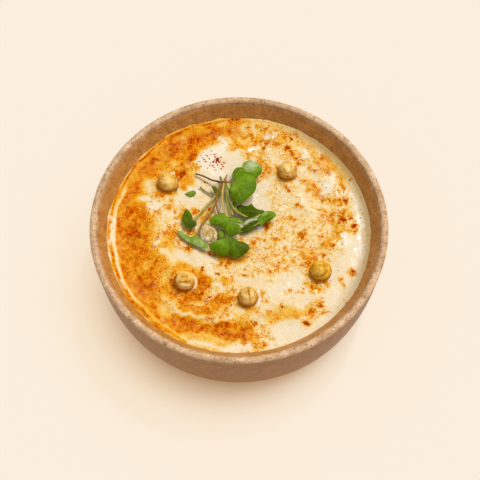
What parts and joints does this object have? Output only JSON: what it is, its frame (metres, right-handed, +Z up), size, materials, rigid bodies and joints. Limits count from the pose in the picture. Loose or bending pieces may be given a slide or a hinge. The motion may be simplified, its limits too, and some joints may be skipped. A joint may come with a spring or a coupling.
{
  "type": "bowl of hummus",
  "caption": "Round brown bowl filled with smooth hummus, swirled with paprika oil and topped with whole chickpeas and a bunch of microgreens.",
  "frame": {"origin": "on the ground under the middle of the bowl", "axes": "+Z up out of the bowl's mouth, -Y towards the front, +X to the right seen from the front"},
  "size_m": [0.15, 0.15, 0.05],
  "materials": {
    "bowl_brown": "kraft-brown moulded fibre with fine dark specks and a slight sheen",
    "hummus_cream": "moist cream paste with pools of orange paprika oil",
    "chickpea_tan": "moist boiled seed skin",
    "leaf_green": "fresh leaf, smooth with pale veins",
    "paprika_red": "dry ground spice flakes wet with oil"
  },
  "bodies": {
    "root": {"bowl": "bowl_brown", "hummus": "hummus_cream", "chickpea_1": "chickpea_tan", "chickpea_2": "chickpea_tan", "chickpea_3": "chickpea_tan", "chickpea_4": "chickpea_tan", "chickpea_5": "chickpea_tan", "chickpea_6": "chickpea_tan", "microgreens": "leaf_green"}
  },
  "joints": []
}
